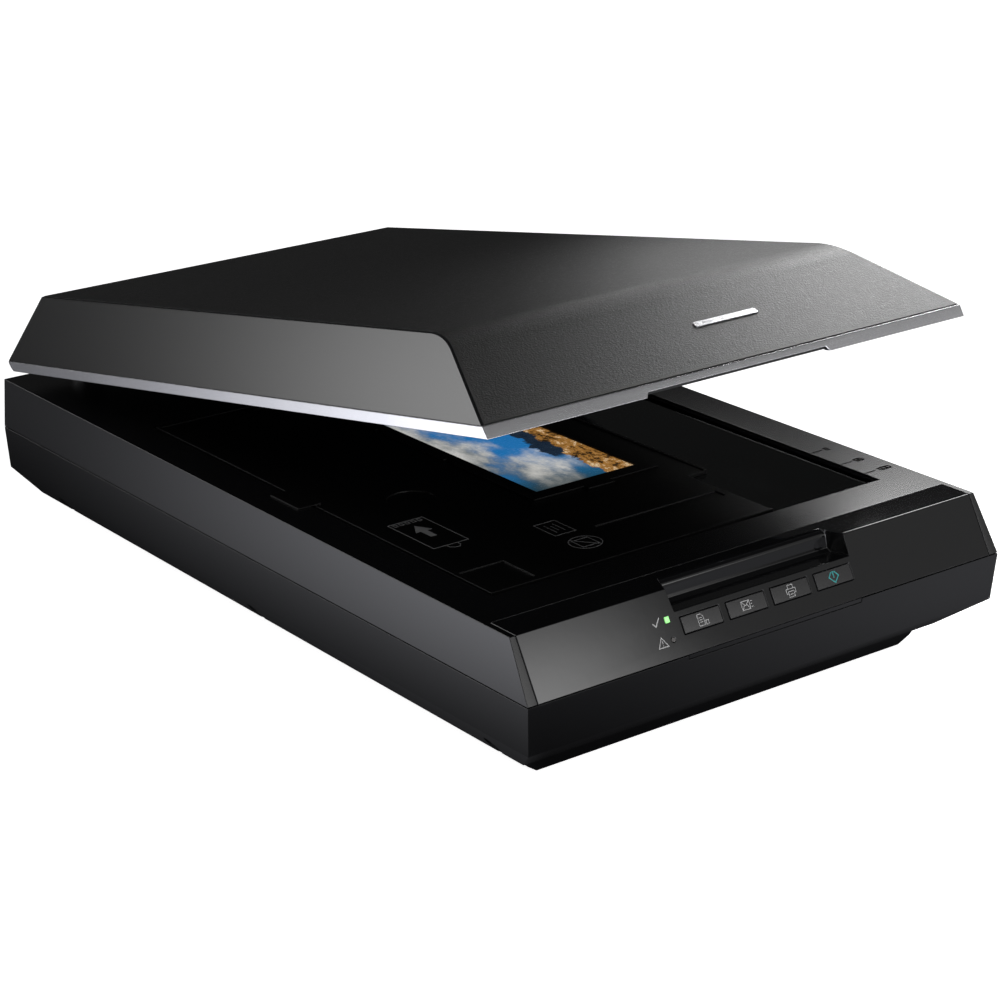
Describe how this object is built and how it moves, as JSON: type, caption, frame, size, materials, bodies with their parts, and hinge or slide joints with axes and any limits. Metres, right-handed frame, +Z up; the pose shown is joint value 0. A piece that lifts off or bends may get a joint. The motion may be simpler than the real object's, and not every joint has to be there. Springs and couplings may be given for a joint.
{
  "type": "flatbed scanner",
  "caption": "Flatbed photo scanner with a raised lid that holds a film backlight, a film holder on its glass, a sloped key panel and a belt-driven optical carriage.",
  "frame": {"origin": "on the desk, at the middle of the case's width and depth", "axes": "+X to the right seen from the key panel, +Y from the key panel towards the lid's hinge, +Z up"},
  "size_m": [0.28, 0.5, 0.1921],
  "materials": {
    "case_black": "satin moulded black, fine grain",
    "panel_gloss": "piano gloss black",
    "clear_glass": "clear float glass over a dark interior",
    "white_plastic": "even matt white",
    "key_grey": "satin mid grey",
    "ready_lens": "lit green light pipe",
    "error_lens": "unlit smoked light pipe",
    "circuit_board": "green solder mask",
    "dark_plastic": "moulded black",
    "grey_plastic": "satin grey",
    "plated_steel": "zinc plated",
    "polished_steel": "ground and polished",
    "brass_gear": "cut brass",
    "ivory_plastic": "acetal",
    "bronze_bush": "sintered bronze",
    "belt_rubber": "black rubber",
    "foot_rubber": "dark grey rubber",
    "ribbon": "flat ribbon with tinned tracks",
    "diffuser": "opal acrylic",
    "silvered_glass": "front silvered",
    "lid_black": "leather-grained charcoal top with smooth satin sides",
    "silver_band": "satin metallic band",
    "lid_inner_black": "fine spark-eroded black",
    "film_holder_black": "satin black",
    "film": "developed colour film"
  },
  "bodies": {
    "base": {"lower_case": "case_black", "upper_case": "case_black", "front_panel": "panel_gloss", "platen_glass": "clear_glass", "calibration_strip": "white_plastic", "ready_light": "ready_lens", "error_light": "error_lens", "panel_board": "circuit_board", "tact_switches": "dark_plastic", "main_board": "circuit_board", "board_components": "dark_plastic", "usb_port": "plated_steel", "power_jack": "dark_plastic", "stepper_motor": "plated_steel", "motor_bracket": "plated_steel", "pulley_axles": "polished_steel", "axle_clips": "plated_steel", "belt_tensioner": "plated_steel", "tension_spring": "plated_steel", "timing_belt": "belt_rubber", "guide_rod": "polished_steel", "rod_clamps": "dark_plastic", "flat_cable": "ribbon", "home_sensor": "dark_plastic", "rubber_feet": "foot_rubber", "case_screws": "plated_steel", "lid_cable": "belt_rubber"},
    "document_key": {"document_key": "key_grey"},
    "mail_key": {"mail_key": "key_grey"},
    "copy_key": {"copy_key": "key_grey"},
    "start_key": {"start_key": "key_grey"},
    "power_button": {"power_button": "dark_plastic"},
    "transport_lock": {"transport_lock": "grey_plastic"},
    "carriage": {"belt_clamp": "dark_plastic", "carriage_housing": "dark_plastic", "carriage_cover": "dark_plastic", "carriage_bearings": "bronze_bush", "light_bar": "diffuser", "optical_mirrors": "silvered_glass", "lens_barrel": "dark_plastic", "sensor_board": "circuit_board"},
    "drive_gear": {"drive_gear": "ivory_plastic"},
    "idler_pulley": {"idler_pulley": "ivory_plastic"},
    "motor_pinion": {"motor_pinion": "brass_gear"},
    "hinge_posts": {"hinge_posts": "dark_plastic"},
    "lid": {"hinge_brackets": "plated_steel", "hinge_pins": "polished_steel", "lid_cover": "lid_black", "lid_trim": "silver_band", "lid_inner_panel": "lid_inner_black", "lid_window": "diffuser", "light_guide": "diffuser", "led_strip": "diffuser", "backlight_reflector": "white_plastic", "lid_screws": "plated_steel", "lid_bumpers": "foot_rubber"},
    "document_mat": {"document_mat": "white_plastic"},
    "film_holder": {"film_holder": "film_holder_black", "film_cover": "film_holder_black", "film_strip": "film"}
  },
  "joints": [
    {"name": "lid_rise", "type": "slide", "parent": "base", "child": "hinge_posts", "axis": [0, 0, 1], "range_m": [-0.0072, 0.017]},
    {"name": "lid_hinge", "type": "hinge", "parent": "hinge_posts", "child": "lid", "pos_m": [0, 0.232, 0.0954], "axis": [-1, 0, 0], "range_deg": [-9.7, 70.3]},
    {"name": "mat_release", "type": "slide", "parent": "lid", "child": "document_mat", "axis": [0, -0.9857, 0.1685], "range_m": [0, 0.012]},
    {"name": "document_key_press", "type": "slide", "parent": "base", "child": "document_key", "axis": [0, 0.8766, -0.4813], "range_m": [0, 0.001]},
    {"name": "mail_key_press", "type": "slide", "parent": "base", "child": "mail_key", "axis": [0, 0.8766, -0.4813], "range_m": [0, 0.001]},
    {"name": "copy_key_press", "type": "slide", "parent": "base", "child": "copy_key", "axis": [0, 0.8766, -0.4813], "range_m": [0, 0.001]},
    {"name": "start_key_press", "type": "slide", "parent": "base", "child": "start_key", "axis": [0, 0.8766, -0.4813], "range_m": [0, 0.001]},
    {"name": "power_press", "type": "slide", "parent": "base", "child": "power_button", "axis": [-1, 0, 0], "range_m": [0, 0.0012]},
    {"name": "transport_lock_slide", "type": "slide", "parent": "base", "child": "transport_lock", "axis": [1, 0, 0], "range_m": [0, 0.009]},
    {"name": "carriage_travel", "type": "slide", "parent": "base", "child": "carriage", "axis": [0, -1, 0], "range_m": [0, 0.309]},
    {"name": "drive_gear_spin", "type": "hinge", "parent": "base", "child": "drive_gear", "pos_m": [-0.012, -0.212, 0.03], "axis": [0, 0, 1], "continuous": true},
    {"name": "idler_spin", "type": "hinge", "parent": "base", "child": "idler_pulley", "pos_m": [-0.012, 0.197, 0.026], "axis": [0, 0, 1], "continuous": true},
    {"name": "pinion_spin", "type": "hinge", "parent": "base", "child": "motor_pinion", "pos_m": [0.0079, -0.212, 0.034], "axis": [0, 0, 1], "continuous": true},
    {"name": "film_holder_lift", "type": "slide", "parent": "base", "child": "film_holder", "axis": [0, 0, 1], "range_m": [0, 0.015]}
  ],
  "couplings": [
    {"joint": "drive_gear_spin", "follows": "carriage_travel", "rad_per_m": -166.67},
    {"joint": "idler_spin", "follows": "carriage_travel", "rad_per_m": -166.67},
    {"joint": "pinion_spin", "follows": "carriage_travel", "rad_per_m": 750}
  ]
}
